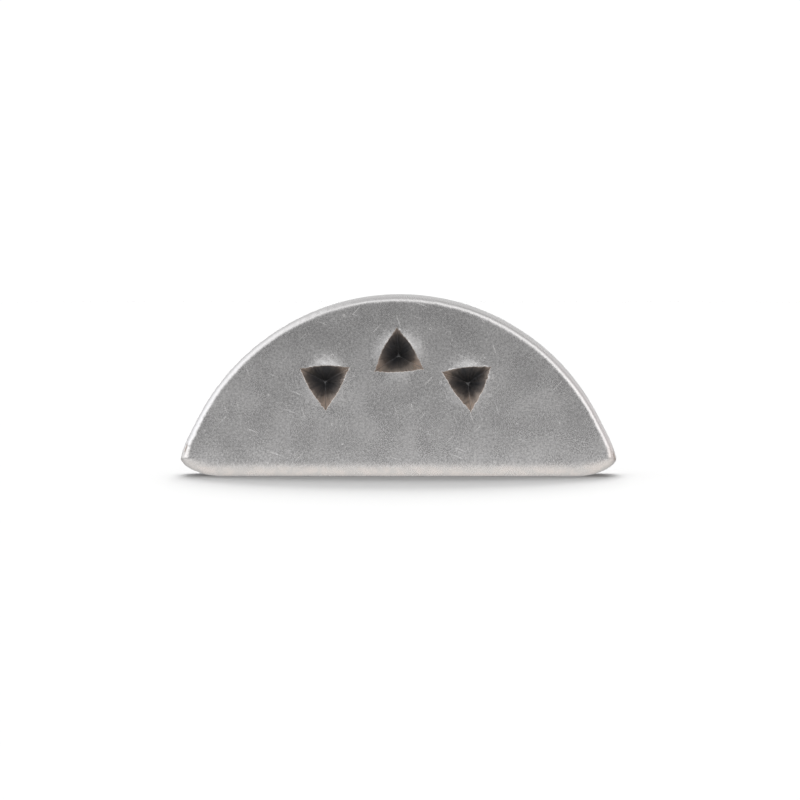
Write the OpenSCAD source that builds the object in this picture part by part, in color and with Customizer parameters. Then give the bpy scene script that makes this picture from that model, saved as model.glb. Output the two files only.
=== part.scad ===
// Woodruff key: a half-moon of steel that locks a hub to a shaft.
// It stands on its flat land, with the round edge up. X runs along the land,
// Y across the two flanks, and the origin is the middle of the land.
// The marks are struck into the front flank, the one that faces -Y.

/* [Key] */
// Thickness across the two flanks, which is the width of the keyway
key_b = 5; // [3:0.5:10]
// Diameter of the round edge, which is the cutter that mills the seat
key_d = 22; // [19:0.5:32]
// Height from the flat land to the crown of the round edge
key_h = 8.85; // [8:0.05:11]

/* [Edges] */
// Radius of the two long edges beside the round edge
arc_edge_r = 0.36; // [0.15:0.01:0.5]
// Radius of the two long edges beside the flat land
land_edge_r = 0.75; // [0.3:0.05:1]
// How far along the land each rounded end runs
end_run = 1.95; // [1:0.05:3]
// How far up the round edge each rounded end rises
end_rise = 0.97; // [0.5:0.01:1.5]

/* [Punch marks] */
// Side of each three-sided mark, measured in the plane of the flank
mark_side = 2.4; // [1.5:0.05:2.6]
// Depth of each mark below the flank
mark_depth = 0.7; // [0.3:0.05:1]
// Side of the blunt tip that the punch leaves at the bottom of a mark
mark_tip = 0.14; // [0.05:0.01:0.3]
// Distance from one mark to the next along the land
mark_pitch = 3.48; // [3:0.02:4]
// Height above the land of the line that all three marks have one side on
mark_line = 5.25; // [4.5:0.05:5.5]
// Turn of the left, middle and right mark out of true, in degrees
mark_turn = [0, 4, 6.5]; // [-10:0.5:10]
// Shift of the left, middle and right mark along the land, out of true
mark_shift = [-0.09, 0, -0.09]; // [-0.2:0.01:0.2]

/* [Raised metal] */
// Height of the metal that each side of a mark throws up
swell_h = 0.1; // [0.05:0.01:0.2]
// Radius of the foot of each swell
swell_r = 0.95; // [0.6:0.05:1.1]
// Distance from a mark's side out to the top of its swell
swell_out = 0.1; // [0:0.02:0.2]

/* [Hidden] */
$fn = 128;
key_r = key_d / 2;
// Height of the round edge's centre, which lies below the land
arc_z = key_h - key_r;
// How far a cut or a foot reaches past the surface that it belongs to
over = 0.2;
// How far the rounded ends stand past the round edge, so that the two cross
end_cross = 0.05;
// Half the length of the land that stays straight between its rounded ends
land_half = sqrt(key_r ^ 2 - (end_rise - arc_z) ^ 2) + end_cross - end_run;
// Distance from the middle of a mark to its sides
mark_in = mark_side / (2 * sqrt(3));
mark_corner = 2 * mark_in;
// Distance from the middle of the blunt tip to its corners
tip_corner = mark_tip / sqrt(3);
// How much further out the corners of a mark lie for each step up its walls
mark_flare = (mark_corner - tip_corner) / mark_depth;
// Clear height of a mark's cutter above the flank, past the top of the swell
mark_clear = swell_h + over;
// Radius of the ball that a swell is the cap of
swell_ball = (swell_r ^ 2 + swell_h ^ 2) / (2 * swell_h);
// Each mark's place along the land, and 1 if it points up or -1 if down
MARKS = [[-mark_pitch, -1], [0, 1], [mark_pitch, -1]];
SIDES = 3;

// Section of the disc from its axis to its rim, with both edges rounded.
module disc_section() {
    flat = key_r - arc_edge_r;
    band = key_b - 2 * arc_edge_r;
    translate([0, -key_b / 2]) square([flat, key_b]);
    translate([0, -band / 2]) square([key_r, band]);
    for (side = [-1, 1]) translate([flat, side * band / 2]) circle(arc_edge_r);
}

// The whole disc that the key is a segment of, standing on its rim.
module disc() {
    translate([0, 0, arc_z]) rotate([90, 0, 0]) rotate_extrude() intersection() {
        disc_section();
        translate([0, -key_b]) square([key_d, 2 * key_b]);
    }
}

// Section across the land, with its two long edges rounded.
module land_section() {
    band = key_b - 2 * land_edge_r;
    translate([-band / 2, 0]) square([band, key_h + over]);
    translate([-key_b / 2, land_edge_r]) square([key_b, key_h + over - land_edge_r]);
    for (side = [-1, 1]) translate([side * band / 2, land_edge_r]) circle(land_edge_r);
}

// Face-on outline that rounds the two ends of the land.
module end_outline() {
    half = land_half + end_run;
    translate([-land_half, 0]) square([2 * land_half, key_h + over]);
    translate([-half, end_rise]) square([2 * half, key_h + over - end_rise]);
    for (side = [-1, 1]) {
        translate([side * land_half, end_rise]) scale([end_run / end_rise, 1]) circle(end_rise);
    }
}

// The key before it is struck.
module blank() {
    intersection() {
        disc();
        rotate([90, 0, 90]) linear_extrude(key_d, center = true) land_section();
        rotate([90, 0, 0]) linear_extrude(key_b + 2 * over, center = true) end_outline();
    }
}

// Puts a mark's shapes on the front flank: their +Z comes out of the flank, and
// their +Y is the way the mark points.
module on_flank(mark) {
    points = MARKS[mark][1];
    translate([MARKS[mark][0] + mark_shift[mark], -key_b / 2, mark_line + points * mark_in])
        rotate([90, 0, 0]) rotate([0, 0, points * 90 - 90 + mark_turn[mark]]) children();
}

// One low swell of metal, the cap of a ball, with a foot below the flank.
module swell() {
    rotate_extrude() intersection() {
        translate([0, swell_h - swell_ball]) circle(swell_ball);
        translate([0, -over]) square([swell_r, swell_h + over]);
    }
}

// The metal thrown up along the three sides of one mark.
module raised_metal() {
    for (side = [0 : SIDES - 1]) {
        rotate([0, 0, 360 / SIDES * side - 90]) translate([mark_in + swell_out, 0, 0]) swell();
    }
}

// The three-sided point of the punch, blunt at its tip.
module punch_point() {
    rotate([0, 0, 90]) translate([0, 0, -mark_depth]) cylinder(
        h = mark_depth + mark_clear,
        r1 = tip_corner,
        r2 = mark_corner + mark_flare * mark_clear,
        $fn = SIDES
    );
}

module woodruff_key() {
    color("lightslategray") difference() {
        union() {
            blank();
            for (mark = [0 : len(MARKS) - 1]) on_flank(mark) raised_metal();
        }
        for (mark = [0 : len(MARKS) - 1]) on_flank(mark) punch_point();
    }
}

woodruff_key();
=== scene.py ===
import math

import bpy
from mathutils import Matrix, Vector, noise


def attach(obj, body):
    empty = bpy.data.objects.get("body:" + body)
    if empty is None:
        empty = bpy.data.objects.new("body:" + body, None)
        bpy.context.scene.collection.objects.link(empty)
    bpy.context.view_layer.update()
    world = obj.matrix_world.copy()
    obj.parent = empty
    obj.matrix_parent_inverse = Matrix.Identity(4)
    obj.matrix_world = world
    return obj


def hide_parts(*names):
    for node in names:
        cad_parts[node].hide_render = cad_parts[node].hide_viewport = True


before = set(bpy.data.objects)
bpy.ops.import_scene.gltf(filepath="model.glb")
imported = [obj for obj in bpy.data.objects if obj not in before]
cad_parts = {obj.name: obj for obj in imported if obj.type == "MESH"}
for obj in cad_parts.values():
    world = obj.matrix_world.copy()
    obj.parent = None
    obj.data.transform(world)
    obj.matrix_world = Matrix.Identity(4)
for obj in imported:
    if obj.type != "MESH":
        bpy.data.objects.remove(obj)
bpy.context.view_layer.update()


# The blank: a half-moon of steel, sliced from round bar as a disc and cut straight
# across. Tumbling has rounded its edges: least along the arc, more along the land it
# stands on, and most at the two ends. It is drawn in millimetres and scaled when it is whole.
MM = 0.001
KEY_B = 5.0
KEY_R = 11.0
KEY_H = 8.85
ARC_Z = KEY_H - KEY_R
ARC_EDGE_R = 0.36
LAND_EDGE_R = 0.75
END_RUN = 1.95
END_RISE = 0.97
END_CROSS = 0.05
LAND_HALF = math.sqrt(KEY_R**2 - (END_RISE - ARC_Z) ** 2) + END_CROSS - END_RUN
FACE_RIM = 0.04
EDGE_STEPS = 10
EDGE_TURN = math.radians(90) / EDGE_STEPS
OUTLINE_STEP = 0.01
END_STEPS = 300


def smooth(t):
    """A soft step from 0 to 1."""
    t = min(max(t, 0.0), 1.0)
    return t * t * (3.0 - 2.0 * t)


# Half of the outline as a close row of points, from the middle of the land round the
# right end and over the arc to the crown.
row = [(i * OUTLINE_STEP, 0.0) for i in range(int(LAND_HALF / OUTLINE_STEP))]
for i in range(END_STEPS):
    turn = math.radians(90) * i / END_STEPS
    x = LAND_HALF + END_RUN * math.sin(turn)
    z = END_RISE * (1.0 - math.cos(turn))
    if math.hypot(x, z - ARC_Z) < KEY_R:
        row.append((x, z))
meet = len(row)
turn = math.atan2(row[-1][1] - ARC_Z, row[-1][0])
while turn < math.radians(90):
    row.append((KEY_R * math.cos(turn), ARC_Z + KEY_R * math.sin(turn)))
    turn += OUTLINE_STEP / KEY_R
# Averaging each point with its neighbours takes off the corner where the end meets the arc.
SOFT_POINTS = 10
SOFT_REACH = 60
for _ in range(2):
    before = row[:]
    for i in range(meet - SOFT_REACH, meet + SOFT_REACH):
        near = before[i - SOFT_POINTS : i + SOFT_POINTS + 1]
        row[i] = (sum(x for x, _ in near) / len(near), sum(z for _, z in near) / len(near))

# The cut has left the low ends of the arc flared a little, between a foot and a top.
FLARE = 0.08
FLARE_FOOT = 0.1
FLARE_RISE = 0.9
FLARE_TOP = 2.7
FLARE_FADE = 1.3


def flare(z):
    return FLARE * smooth((FLARE_TOP - z) / FLARE_FADE) * smooth((z - FLARE_FOOT) / FLARE_RISE)


row = [(x + flare(z), z) for x, z in row]

# Stations along that row, closer together near the ends: place, outward direction, edge radius.
# The radius falls from the land's to the arc's on the way round the end.
NEAR_END = 4.0
NEAR_STEP = 0.05
FAR_STEP = 0.08
FACING_POINTS = 90
FALL_FROM = 0.8
FALL_PAST = 0.4
lengths = [0.0]
for a, b in zip(row, row[1:]):
    lengths.append(lengths[-1] + math.dist(a, b))
half = []
due = 0.0
for i in range(1, len(row) - 1):
    if lengths[i] >= due:
        reach = min(FACING_POINTS, i, len(row) - 1 - i)
        ahead = Vector(row[i + reach]) - Vector(row[i - reach])
        out = Vector((ahead.y, -ahead.x)).normalized()
        blend = smooth((lengths[i] - LAND_HALF - FALL_FROM) / (lengths[meet] + FALL_PAST - LAND_HALF))
        half.append((*row[i], *out, LAND_EDGE_R + (ARC_EDGE_R - LAND_EDGE_R) * blend))
        due = lengths[i] + (NEAR_STEP if abs(lengths[i] - lengths[meet]) < NEAR_END else FAR_STEP)
outline = half + [(-x, z, -nx, nz, edge) for x, z, nx, nz, edge in reversed(half)]


def uneven(x, z, per_mm, layer):
    """Waves, so many to the millimetre, that differ from layer to layer."""
    return noise.noise(Vector((x * per_mm, z * per_mm, layer)))


# Shares of an edge's radius: how far it wavers, how ragged it is, how much more so low on the
# arc, and how far it is worn on the right.
WAVER = 0.06
RAGGED = 0.08
RAGGED_LOW = 0.1
WORN = 0.12


def edge_radius(station, side):
    """The edge's radius at a station: uneven and ragged low on the arc, and worn more on the right."""
    x, z, _, _, radius = outline[station]
    long = uneven(x, z, 0.8, 7.0 * side)
    short = uneven(x, z, 5.0, 3.0 + 5.0 * side)
    short += 0.7 * uneven(x, z, 11.0, 9.0 + 5.0 * side)
    ragged = RAGGED + RAGGED_LOW * smooth((4.5 - z) / 3.0)
    worn = WORN * smooth((x - 2.0) / 5.0)
    above_end = smooth((z - 1.1) / 0.8)
    return radius * (1.0 + WAVER * long + (worn + ragged * short) * above_end)


# Rings round the key, from the back flank over both edges to the front flank:
# which side, how far it has turned over the edge, how far in on the flank.
rings = [(1, 0.0, FACE_RIM)]
rings += [(1, EDGE_TURN * i, 0.0) for i in range(EDGE_STEPS + 1)]
rings += [(-1, EDGE_TURN * i, 0.0) for i in range(EDGE_STEPS, -1, -1)]
rings += [(-1, 0.0, FACE_RIM)]
# Depth of the waves along the rim.
WAVE_DEPTH = 0.012
# A small nick at each end of the front edge, darkened with painted shade: its height and how far over the
# edge it lies.
RIGHT_NICK = (1.0, 1.1)
LEFT_NICK = (1.4, 0.95)
NICKS_FROM = 9.8
NICK_LONG = 0.3
NICK_WIDE = 0.18
NICK_DEPTH = 0.06
NICK_SHADE = 0.22


def blank_place(ring, station):
    """Place, burnish with its painted sheen, and pit of one vertex of the blank; the pit is the nick's
    painted shade.
    """
    side, turn, step_in = rings[ring]
    x, z, nx, nz, _ = outline[station]
    radius = edge_radius(station, side)
    wavy = uneven(x, z, 2.2, turn + 4.0 * side) * WAVE_DEPTH * math.sin(turn)
    at, over = RIGHT_NICK if x > 0 else LEFT_NICK
    nick = math.exp(-(((z - at) / NICK_LONG) ** 2) - ((turn - over) / NICK_WIDE) ** 2)
    nick = nick if side < 0 and abs(x) > NICKS_FROM else 0.0
    back = radius * (1.0 - math.sin(turn)) + step_in + max(wavy, 0.0) + NICK_DEPTH * nick
    depth = KEY_B / 2 - radius * (1.0 - math.cos(turn))
    # The edge is burnished, and painted with a sheen, most in its middle, and less where it runs out into
    # the rim.
    run_out = smooth((turn - math.radians(65)) / math.radians(25))
    burnish_and_sheen = smooth(math.sin(turn) * 1.6) * (1.0 - 0.8 * run_out)
    place = Vector((x - nx * back, side * depth, z - nz * back))
    # The nick's darkening is painted shade.
    return place, burnish_and_sheen * (1.0 - nick), NICK_SHADE * nick**2


def draw_out(name, count, ring_count, place):
    """A piece drawn out of a circle, ring by ring, with each vertex put where place says."""
    bpy.ops.object.select_all(action="DESELECT")
    bpy.ops.mesh.primitive_circle_add(vertices=count, radius=KEY_R, fill_type="NOTHING")
    piece = bpy.context.object
    piece.name = piece.data.name = name
    piece.data.attributes.new("station", "INT", "POINT").data.foreach_set("value", list(range(count)))
    piece.data.attributes.new("burnish_and_sheen", "FLOAT", "POINT")
    piece.data.attributes.new("pit", "FLOAT", "POINT")
    for ring in range(ring_count):
        bpy.ops.object.mode_set(mode="EDIT")
        if ring == 0:
            bpy.ops.mesh.select_all(action="SELECT")
        else:
            bpy.ops.mesh.extrude_edges_move()
        bpy.ops.object.mode_set(mode="OBJECT")
        station = piece.data.attributes["station"].data
        burnish_and_sheen = piece.data.attributes["burnish_and_sheen"].data
        pit = piece.data.attributes["pit"].data
        for v in piece.data.vertices:
            if v.select:
                v.co, burnish_and_sheen[v.index].value, pit[v.index].value = place(ring, station[v.index].value)
    return piece


key = draw_out("steel_key", len(outline), len(rings), blank_place)
# The back flank is filled in, inside its first ring.
bpy.ops.object.mode_set(mode="EDIT")
bpy.ops.mesh.select_all(action="DESELECT")
bpy.ops.object.mode_set(mode="OBJECT")
for v in key.data.vertices:
    v.select = v.index < len(outline)
bpy.ops.object.mode_set(mode="EDIT")
bpy.ops.mesh.fill(use_beauty=True)
bpy.ops.object.mode_set(mode="OBJECT")


# The punch marks: three-sided pits with a blunt tip, struck cold into the front flank
# so that the metal swells up along their sides and grips the keyway. They were struck by
# hand, so each is a little out of true and its lip is torn here and there.
MARK_SIDE = 2.45
MARK_DEPTH = 0.7
MARK_TIP = 0.14
MARK_LINE = 5.25
SWELL_H = 0.1
SWELL_R = 1.02
SWELL_FALL = 0.7
SWELL_STRETCH = 0.85
WALL_STREAK = 0.008
WALL_JAG = 0.034
TORN_LIP = 0.1
LIP_ROUND = 0.02
PATCH_R = 1.815
SIDE_STEPS = 72
mark_in = MARK_SIDE / (2 * math.sqrt(3))
tip_in = MARK_TIP / (2 * math.sqrt(3))
wall = MARK_DEPTH / (mark_in - tip_in)
side_facing = [math.radians(-90 + 120 * side) for side in range(3)]
# Place along the land, lift, which way it points, turn in degrees, how high each side's swell is.
marks = [
    (-3.58, 0.07, -1, 1.5, (1.22, 1.2, 0.9)),
    (0.0, -0.07, 1, 3.0, (0.9, 1.2, 1.4)),
    (3.4, 0.0, -1, 5.5, (1.2, 0.9, 0.9)),
]


def soft_min(a, b, width):
    """The lesser of two, rounded off where they are nearly equal."""
    near = max(width - abs(a - b), 0.0) / width
    return min(a, b) - near * near * width / 4


def struck_flank(u, v, swells, seed):
    """Heights over the flank's plane of the raised metal and of the pit, at u, v from
    the middle of a mark that points along +v."""
    swell, pit = 0.0, -MARK_DEPTH
    for side, facing in enumerate(side_facing):
        nu, nv = math.cos(facing), math.sin(facing)
        out, along = u * nu + v * nv, v * nu - u * nv
        streak = noise.noise(Vector((along / max(out, 0.15) * 8.0, seed, side * 3.1)))
        jag = noise.noise(Vector((along * 9.0, seed + 4.0, side * 2.3)))
        rough = WALL_STREAK * streak + WALL_JAG * jag
        plane = wall * (out - mark_in) + rough * smooth((out - tip_in) / 0.2)
        pit = -soft_min(-pit, -plane, LIP_ROUND)
        past = out - mark_in
        inside = max(1.0 - ((SWELL_STRETCH * along) ** 2 + past * past) / SWELL_R**2, 0.0)
        swell = max(swell, SWELL_H * swells[side] * math.exp(-max(past, 0.0) / SWELL_FALL) * inside**2)
        torn = max(noise.noise(Vector((along * 5.0, seed, side * 5.7))) - 0.12, 0.0)
        swell += TORN_LIP * torn * math.exp(-(((past - 0.03) / 0.05) ** 2)) * smooth(2.0 * inside)
    ragged = uneven(u, v, 5.0, seed + 0.5) * 0.006
    return swell + ragged * smooth(swell / SWELL_H * 1.5), pit


def lip_distance(turn, swells, seed):
    """How far from the middle of a mark its lip lies, in one direction."""
    low, high = 0.05, PATCH_R
    for _ in range(24):
        far = (low + high) / 2
        swell, pit = struck_flank(far * math.cos(turn), far * math.sin(turn), swells, seed)
        low, high = (far, high) if pit < swell else (low, far)
    return low


side_turns = []
for facing in side_facing:
    for i in range(SIDE_STEPS):
        side_turns.append(facing + math.atan2(MARK_SIDE * (i / SIDE_STEPS - 0.5), mark_in))
lip_steps = [0.16, 0.11, 0.075, 0.05, 0.03, 0.015, 0.0, -0.015, -0.03, -0.05, -0.075, -0.11]
OUT_RINGS = 13
IN_RINGS = 15
mark_rings = [("out", 1.0), ("out", 0.985)]
mark_rings += [("out", 1.0 - i / OUT_RINGS) for i in range(1, OUT_RINGS)]
mark_rings += [("lip", step) for step in lip_steps]
mark_rings += [("in", i / IN_RINGS) for i in range(1, IN_RINGS + 1)]
# How bright the raised metal is rubbed and painted with sheen, how far up a mark the darkest scale and its
# painted shade lie, the scale's least tone, and how close to the middle of the tip the walls run.
MOUND_BURNISH_SHEEN = 0.6
SCALE_SHADE_UP = 0.24
SCALE_LEAST = 0.12
TIP_END = 0.004
struck = []
for number, (along_land, lift, points, turned, swells) in enumerate(marks):
    seed = 11.3 * number
    patch_r = PATCH_R - 0.01 * number
    spin = math.radians(turned + (0 if points > 0 else 180))
    lips = [lip_distance(turn, swells, seed) for turn in side_turns]

    def mark_place(ring, station):
        """Place, burnish with its painted sheen, and pit of one vertex of this mark; the pit is scale
        darkened further with painted shade.
        """
        kind, amount = mark_rings[ring]
        turn, lip = side_turns[station], lips[station]
        outer, inner = lip + lip_steps[0], lip + lip_steps[-1]
        if kind == "out":
            far = outer + (patch_r - outer) * amount
        elif kind == "lip":
            far = lip + amount
        else:
            far = inner * (1.0 - amount) + TIP_END * amount
        u, v = far * math.cos(turn), far * math.sin(turn)
        swell, pit = struck_flank(u, v, swells, seed)
        height = soft_min(swell, pit, LIP_ROUND) if kind != "out" or amount < 0.98 else 0.0
        x = along_land + u * math.cos(spin) - v * math.sin(spin)
        z = MARK_LINE + lift + points * mark_in + u * math.sin(spin) + v * math.cos(spin)
        # The raised metal is burnished and painted paler with a sheen.
        burnish_and_sheen = MOUND_BURNISH_SHEEN * smooth(swell / SWELL_H) * smooth((far - lip) / 0.05 + 1.0)
        around = Vector((math.cos(turn), math.sin(turn), seed))
        streak = 0.3 * noise.noise(around * 2.6) + 0.12 * noise.noise(around * 9.0)
        # The scale is painted darkest at the tip and up the upper wall: real scale, with painted shade
        # where the pit is deepest and its upper wall lies in shade.
        low = math.hypot(u - SCALE_SHADE_UP * math.sin(spin), v - SCALE_SHADE_UP * math.cos(spin))
        tone = min(max(smooth((1.15 - low) / 0.8) + streak, 0.0), 1.0)
        # Painted shade darkens the creases between the walls.
        crease_shade = max(1.0 - min(station % SIDE_STEPS, -station % SIDE_STEPS) / 2.5, 0.0)
        tone = min(tone + 0.4 * crease_shade, 1.0)
        depth = smooth((lip + 0.02 - far) / 0.05) * (SCALE_LEAST + (1.0 - SCALE_LEAST) * tone)
        return Vector((x, -KEY_B / 2 - height, z)), burnish_and_sheen, depth

    mark = draw_out("mark_%d" % number, len(side_turns), len(mark_rings), mark_place)
    bpy.ops.object.mode_set(mode="EDIT")
    bpy.ops.mesh.edge_face_add()
    bpy.ops.object.mode_set(mode="OBJECT")
    struck.append(mark)

# The marks are joined to the blank, and the flat of the front flank is filled in round them.
bpy.ops.object.select_all(action="DESELECT")
for piece in struck + [key]:
    piece.select_set(True)
bpy.context.view_layer.objects.active = key
bpy.ops.object.join()
bpy.ops.object.mode_set(mode="EDIT")
bpy.ops.mesh.select_mode(type="EDGE")
bpy.ops.mesh.select_all(action="DESELECT")
bpy.ops.mesh.select_non_manifold(
    extend=False,
    use_wire=False,
    use_multi_face=False,
    use_non_contiguous=False,
    use_verts=False,
)
bpy.ops.mesh.fill(use_beauty=True)
bpy.ops.mesh.select_all(action="SELECT")
bpy.ops.mesh.normals_make_consistent(inside=False)
bpy.ops.mesh.select_all(action="DESELECT")
bpy.ops.object.mode_set(mode="OBJECT")
bpy.ops.object.shade_smooth()
key.scale = (MM, MM, MM)
bpy.ops.object.transform_apply(location=False, rotation=False, scale=True)
key.data.attributes.remove(key.data.attributes["station"])
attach(key, "root")
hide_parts("woodruff_key")


# The finish: bare steel, tumbled to a fine even grain, burnished and painted with a sheen where it stands
# proud, with dull brown-black scale left inside the marks. Painted shade and painted light are laid into
# the colour too.
steel = bpy.data.materials.new("tumbled_steel")
steel.use_nodes = True
nodes, links = steel.node_tree.nodes, steel.node_tree.links
shader = nodes["Principled BSDF"]
shader.inputs["Metallic"].default_value = 1.0


def add(kind, inputs, **settings):
    """A node with its settings and its inputs, each a value or another node's output."""
    made = nodes.new(kind)
    for name, value in settings.items():
        setattr(made, name, value)
    for name, value in inputs.items():
        if isinstance(value, bpy.types.NodeSocket):
            links.new(value, made.inputs[name])
        else:
            made.inputs[name].default_value = value
    return made


def math_of(operation, a, b):
    return add("ShaderNodeMath", {0: a, 1: b}, operation=operation).outputs[0]


def summed(*parts):
    """The sum of values, each taken by its share."""
    total = math_of("MULTIPLY", *parts[0])
    for value, share in parts[1:]:
        total = math_of("ADD", total, math_of("MULTIPLY", value, share))
    return total


def span(value, low, high, to_low=0.0, to_high=1.0):
    ends = {0: value, 1: low, 2: high, 3: to_low, 4: to_high}
    return add("ShaderNodeMapRange", ends, interpolation_type="SMOOTHSTEP").outputs[0]


def mixed(share, a, b):
    return add("ShaderNodeMix", {0: share, 6: a, 7: b}, data_type="RGBA").outputs[2]


in_metres = add("ShaderNodeTexCoord", {}).outputs["Object"]
in_mm = add("ShaderNodeVectorMath", {0: in_metres, "Scale": 1 / MM}, operation="SCALE").outputs[0]


def cloud(scale, detail, rough, shift=0.0):
    """Noise with so many waves to the millimetre, shifted so that no two clouds agree."""
    step = {0: in_mm, 1: (shift, shift * 1.7, shift * 2.3)}
    moved = add("ShaderNodeVectorMath", step, operation="ADD").outputs[0]
    waves = {"Vector": moved, "Scale": scale, "Detail": detail, "Roughness": rough}
    return add("ShaderNodeTexNoise", waves).outputs["Fac"]


fine = cloud(20.0, 2.0, 0.6)
middling = cloud(9.0, 2.0, 0.55, 3.1)
mottle = cloud(0.7, 2.0, 0.5, 8.4)
blotch = cloud(1.8, 2.0, 0.5, 5.2)
specks = span(cloud(11.0, 1.0, 0.5, 6.6), 0.66, 0.74)

# Small round pits with a raised rim, in about one cell of six. The pits are darkened with painted shade and
# the rims lightened with painted highlights.
cells = add("ShaderNodeTexVoronoi", {"Vector": in_mm, "Scale": 1.9})
draw = add("ShaderNodeSeparateColor", {0: cells.outputs["Color"]}).outputs
chosen = span(draw[0], 0.83, 0.85)
away = math_of("DIVIDE", cells.outputs["Distance"], span(draw[1], 0.0, 1.0, 0.06, 0.15))
pock_and_shade = math_of("MULTIPLY", chosen, span(away, 1.0, 0.5))
rim_and_highlight = math_of("MULTIPLY", chosen, math_of("MULTIPLY", span(away, 0.8, 1.1), span(away, 1.7, 1.2)))


def scratches(turn, shift):
    """Fine short strokes that lie one way, each the middle of a long narrow cell."""
    laid = {0: in_mm, 1: (shift, 0.0, shift), 2: (0.0, turn, 0.0), 3: (1.4, 1.4, 0.08)}
    turned = add("ShaderNodeMapping", laid, vector_type="TEXTURE").outputs[0]
    cell = add("ShaderNodeTexVoronoi", {"Vector": turned, "Scale": 1.0})
    here = span(add("ShaderNodeSeparateColor", {0: cell.outputs["Color"]}).outputs[0], 0.95, 0.96)
    return math_of("MULTIPLY", span(cell.outputs["Distance"], 0.34, 0.1), here)


lines = math_of("ADD", scratches(0.35, 4.0), scratches(-0.8, 17.0))
lines = math_of("ADD", lines, scratches(1.25, 29.0))

burnish_and_sheen_share = add("ShaderNodeAttribute", {}, attribute_name="burnish_and_sheen").outputs["Fac"]
pit = add("ShaderNodeAttribute", {}, attribute_name="pit").outputs["Fac"]

# Colour: grey steel with a fine speckle, darker towards the crown and lighter near the land with painted
# shade and painted light, paler where it is burnished and painted with sheen, then the scale of the marks
# over it.
DULL_GREY = (0.325, 0.32, 0.322, 1.0)
PALE_GREY = (0.62, 0.612, 0.612, 1.0)
POCK_SHADE = (0.14, 0.135, 0.13, 1.0)
SCRATCH_AND_HIGHLIGHT_PALE = (0.80, 0.79, 0.785, 1.0)
BURNISH_SHEEN = (0.68, 0.65, 0.626, 1.0)
BURNISH_SHEEN_WARM = (0.76, 0.705, 0.668, 1.0)
BURNISH_SHEEN_COOL = (0.70, 0.69, 0.692, 1.0)
SCALE_BROWN = (0.53, 0.455, 0.40, 1.0)
SCALE_DARK = (0.17, 0.15, 0.138, 1.0)
SCALE_BLACK = (0.075, 0.075, 0.078, 1.0)
speckle = summed((fine, 0.5), (middling, 0.4), (mottle, 0.1))
grey = mixed(span(speckle, 0.36, 0.64), DULL_GREY, PALE_GREY)
height = add("ShaderNodeSeparateXYZ", {0: in_mm}).outputs["Z"]
# Painted shade darkens the steel towards the crown, and painted light from the table lightens it just above
# the land.
painted_light_by_height = math_of("ADD", span(height, 1.0, 8.0, 1.06, 0.80), span(height, 1.7, 0.5, 0.0, 0.14))
grey = add("ShaderNodeVectorMath", {0: grey, "Scale": painted_light_by_height}, operation="SCALE").outputs[0]
# Painted shade darkens the small pits.
grey = mixed(math_of("MULTIPLY", pock_and_shade, 0.75), grey, POCK_SHADE)
# Painted highlights lighten the pits' raised rims; the scratches and specks are pale marks of the steel
# itself.
pale_marks_and_highlights = math_of("ADD", math_of("ADD", lines, rim_and_highlight), specks)
grey = mixed(math_of("MULTIPLY", pale_marks_and_highlights, 0.5), grey, SCRATCH_AND_HIGHLIGHT_PALE)
# The burnish colour is partly painted sheen: paler metal standing in for highlights on the edges and the
# raised metal.
burnish_sheen_colour = mixed(span(blotch, 0.36, 0.64), BURNISH_SHEEN, BURNISH_SHEEN_WARM)
burnish_sheen_colour = mixed(span(height, 0.8, 2.0), burnish_sheen_colour, BURNISH_SHEEN_COOL)
grey = mixed(math_of("MULTIPLY", burnish_and_sheen_share, 0.85), grey, burnish_sheen_colour)
scale_ramp = add("ShaderNodeValToRGB", {0: pit})
stops = scale_ramp.color_ramp.elements
stops[0].color = SCALE_BROWN
stops[1].color = SCALE_BLACK
stops.new(0.45).color = SCALE_DARK
coloured = mixed(span(pit, 0.02, 0.12), grey, scale_ramp.outputs["Color"])
links.new(coloured, shader.inputs["Base Color"])

# Gloss: satin, a little shinier where burnished and duller in the marks.
gloss = span(summed((mottle, 0.5), (fine, 0.5)), 0.35, 0.65, 0.24, 0.34)
gloss = math_of("SUBTRACT", gloss, math_of("MULTIPLY", burnish_and_sheen_share, 0.05))
gloss = math_of("ADD", gloss, math_of("MULTIPLY", span(pit, 0.0, 0.3), 0.12))
links.new(gloss, shader.inputs["Roughness"])

# Relief: the tumbled grain, with the pits and scratches cut into it. It fades on burnished metal.
GRAIN_DEPTH = 0.018
relief = summed((fine, 0.3), (middling, 0.35), (mottle, 0.8))
dented = math_of("SUBTRACT", pock_and_shade, math_of("MULTIPLY", rim_and_highlight, 0.4))
relief = math_of("SUBTRACT", relief, math_of("MULTIPLY", dented, 0.8))
relief = math_of("SUBTRACT", relief, math_of("MULTIPLY", lines, 0.2))
strength = math_of("SUBTRACT", 1.0, math_of("MULTIPLY", burnish_and_sheen_share, 0.9))
bump = add("ShaderNodeBump", {"Strength": strength, "Distance": GRAIN_DEPTH * MM, "Height": relief})
links.new(bump.outputs["Normal"], shader.inputs["Normal"])
key.data.materials.clear()
key.data.materials.append(steel)


# The table: a sheet of acrylic on a photographer's light table, lit evenly from below. Its
# tone is low, because the tent and the lamps make it white. The key mirrors the even glow,
# not the shadow that lies on the sheet.
TABLE_SIZE = 1.2
TABLE_TONE = (0.37, 0.37, 0.37, 1.0)
bpy.ops.object.select_all(action="DESELECT")
bpy.ops.mesh.primitive_plane_add(size=TABLE_SIZE)
table = bpy.context.object
table.name = table.data.name = "pale_table"
table.visible_shadow = False
table.visible_glossy = False
acrylic = bpy.data.materials.new("white_acrylic")
acrylic.use_nodes = True
acrylic_shader = acrylic.node_tree.nodes["Principled BSDF"]
acrylic_shader.inputs["Base Color"].default_value = TABLE_TONE
acrylic_shader.inputs["Roughness"].default_value = 0.9
acrylic_shader.inputs["Specular IOR Level"].default_value = 0.1
table.data.materials.append(acrylic)


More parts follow.
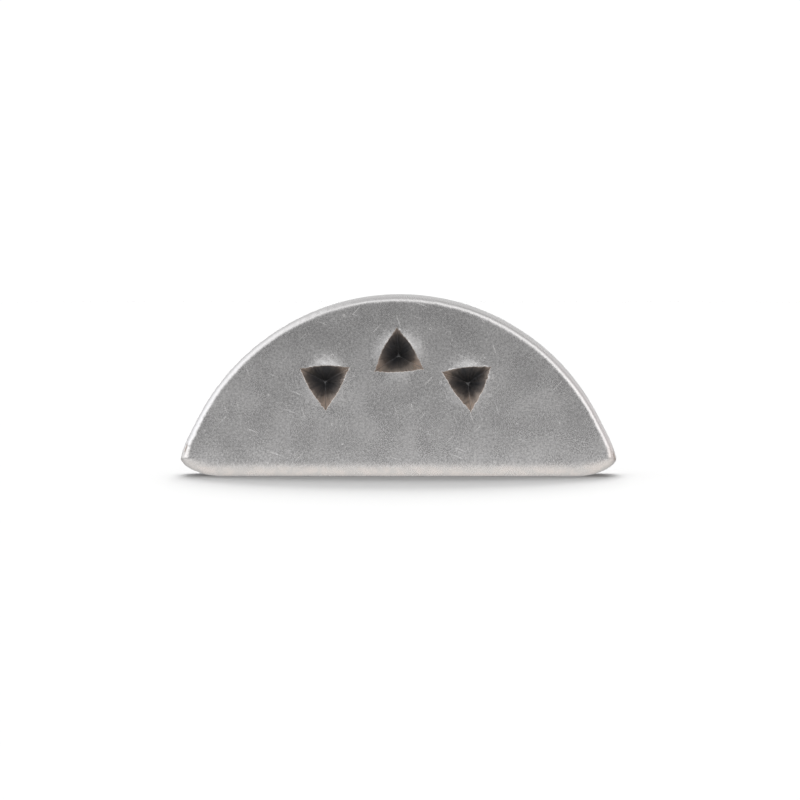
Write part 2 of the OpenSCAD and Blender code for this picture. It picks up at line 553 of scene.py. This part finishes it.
# The light: a white tent over the table, with a bright ring round the dark mouth that the
# camera looks through. The ring is broad at both sides and narrow over the crown.
TENT_POWER = 1.6
# Angle away from the camera's side, in degrees, and the tent's tone there.
tent = [(0, 0.29), (22, 0.33), (33, 1.15), (45, 1.15), (60, 0.56), (100, 0.58), (130, 0.68), (180, 0.68)]
tent_left = [(0, 0.29), (22, 0.33), (35, 1.12), (62, 1.12), (85, 0.92), (105, 0.8), (140, 0.62), (180, 0.6)]
tent_right = [(0, 0.29), (20, 0.33), (28, 1.25), (52, 1.25), (68, 0.6), (84, 0.4), (100, 0.62), (180, 0.66)]
# Angle away from straight down, in degrees, and the glow of the table there, first in front
# of the key and then under it.
glow = [(0, 0.72), (45, 0.72), (70, 0.56), (90, 0.44)]
glow_under = [(0, 0.70), (30, 0.64), (60, 0.48), (90, 0.40)]
# Angle away from the left, in degrees, and the tint of the tent there.
tint = [
    (0, (0.97, 0.98, 1.0)),
    (60, (0.80, 0.80, 0.80)),
    (120, (0.80, 0.797, 0.79)),
    (180, (1.0, 0.95, 0.945)),
]
world = bpy.data.worlds.new("light_tent")
bpy.context.scene.world = world
world.use_nodes = True
sky, joins = world.node_tree.nodes, world.node_tree.links
way = sky.new("ShaderNodeTexCoord")
split = sky.new("ShaderNodeSeparateXYZ")
joins.new(way.outputs["Generated"], split.inputs[0])


def tones_about(axis, tones):
    """Tones laid out by the angle from the negative end of an axis."""
    share = sky.new("ShaderNodeMapRange")
    joins.new(split.outputs[axis], share.inputs[0])
    share.inputs[1].default_value = -1.0
    ramp = sky.new("ShaderNodeValToRGB")
    joins.new(share.outputs[0], ramp.inputs[0])
    stops = ramp.color_ramp.elements
    stops.remove(stops[1])
    for number, (angle, tone) in enumerate(tones):
        position = (1.0 - math.cos(math.radians(angle))) / 2
        stop = stops.new(position) if number else stops[0]
        stop.position = position
        stop.color = (*tone, 1.0) if isinstance(tone, tuple) else (tone, tone, tone, 1.0)
    return ramp.outputs["Color"]


def merged(axis, low, high, a, b):
    """Tone a that turns into tone b as an axis goes from low to high."""
    share = sky.new("ShaderNodeMapRange")
    joins.new(split.outputs[axis], share.inputs[0])
    share.inputs[1].default_value = low
    share.inputs[2].default_value = high
    both = sky.new("ShaderNodeMix")
    both.data_type = "RGBA"
    joins.new(share.outputs[0], both.inputs[0])
    joins.new(a, both.inputs[6])
    joins.new(b, both.inputs[7])
    return both.outputs[2]


around = merged("X", -0.25, -0.45, tones_about("Y", tent), tones_about("Y", tent_left))
around = merged("X", 0.05, 0.3, around, tones_about("Y", tent_right))
below = merged("Y", 0.0, 0.2, tones_about("Z", glow), tones_about("Z", glow_under))
around = merged("Z", 0.02, -0.02, around, below)
tinted = sky.new("ShaderNodeMix")
tinted.data_type = "RGBA"
tinted.blend_type = "MULTIPLY"
tinted.inputs[0].default_value = 1.0
joins.new(around, tinted.inputs[6])
joins.new(tones_about("X", tint), tinted.inputs[7])
joins.new(tinted.outputs[2], sky["Background"].inputs["Color"])
sky["Background"].inputs["Strength"].default_value = TENT_POWER
# Straight to the camera the tent is plain white.
white = sky.new("ShaderNodeBackground")
white.inputs["Color"].default_value = (1.0, 1.0, 1.0, 1.0)
white.inputs["Strength"].default_value = 1.05
path = sky.new("ShaderNodeLightPath")
seen = sky.new("ShaderNodeMixShader")
joins.new(path.outputs["Is Camera Ray"], seen.inputs[0])
joins.new(sky["Background"].outputs[0], seen.inputs[1])
joins.new(white.outputs[0], seen.inputs[2])
joins.new(seen.outputs[0], sky["World Output"].inputs["Surface"])


def lamp(name, kind, place, energy):
    """A lamp that faces the key."""
    made = bpy.data.objects.new(name, bpy.data.lights.new(name, kind))
    bpy.context.scene.collection.objects.link(made)
    made.location = place
    made.rotation_euler = (-Vector(place)).to_track_quat("-Z", "Y").to_euler()
    made.data.energy = energy
    made.visible_camera = False
    return made


# Two wide lights behind the key throw a soft shadow forwards over the table, and the tent
# fills it. The steel mirrors neither of them.
# Name, angle above the table, width of the light, both in degrees, and power.
for name, rise, width, energy in (
    ("low_lamp", 22, 24, 7.6),
    ("high_lamp", 45, 60, 3.66),
):
    lamp_e = math.radians(rise)
    made = lamp(name, "SUN", (0.0, math.cos(lamp_e), math.sin(lamp_e)), energy)
    made.data.angle = math.radians(width)
    made.visible_glossy = False
# A soft lamp over the camera picks out the raised metal.
brow = lamp("brow_lamp", "AREA", (0.0, -0.25, 0.085), 0.019)
brow.data.size = 0.11
brow.visible_diffuse = False
bpy.context.scene.view_settings.view_transform = "Standard"


# The camera: almost level with the key and square to its struck flank, a little above it and
# to its right, with a long lens.
view_e = math.radians(1.6)
view_a = math.radians(0.8)
view_d = 0.35
picture_px = 800
px_per_mm = 20.5
aim = Vector((0.08, -KEY_B / 2, 3.745)) * MM
level = math.cos(view_e)
way_out = Vector((math.sin(view_a) * level, -math.cos(view_a) * level, math.sin(view_e)))
camera = bpy.data.objects.new("camera", bpy.data.cameras.new("camera"))
bpy.context.scene.collection.objects.link(camera)
camera.location = aim + view_d * way_out
camera.rotation_euler = (math.radians(90) - view_e, 0.0, view_a)
camera.data.sensor_width = 36.0
camera.data.lens = camera.data.sensor_width * view_d / (picture_px / px_per_mm * MM)
camera.data.clip_start = 0.01
camera.data.clip_end = 10.0
bpy.context.scene.camera = camera
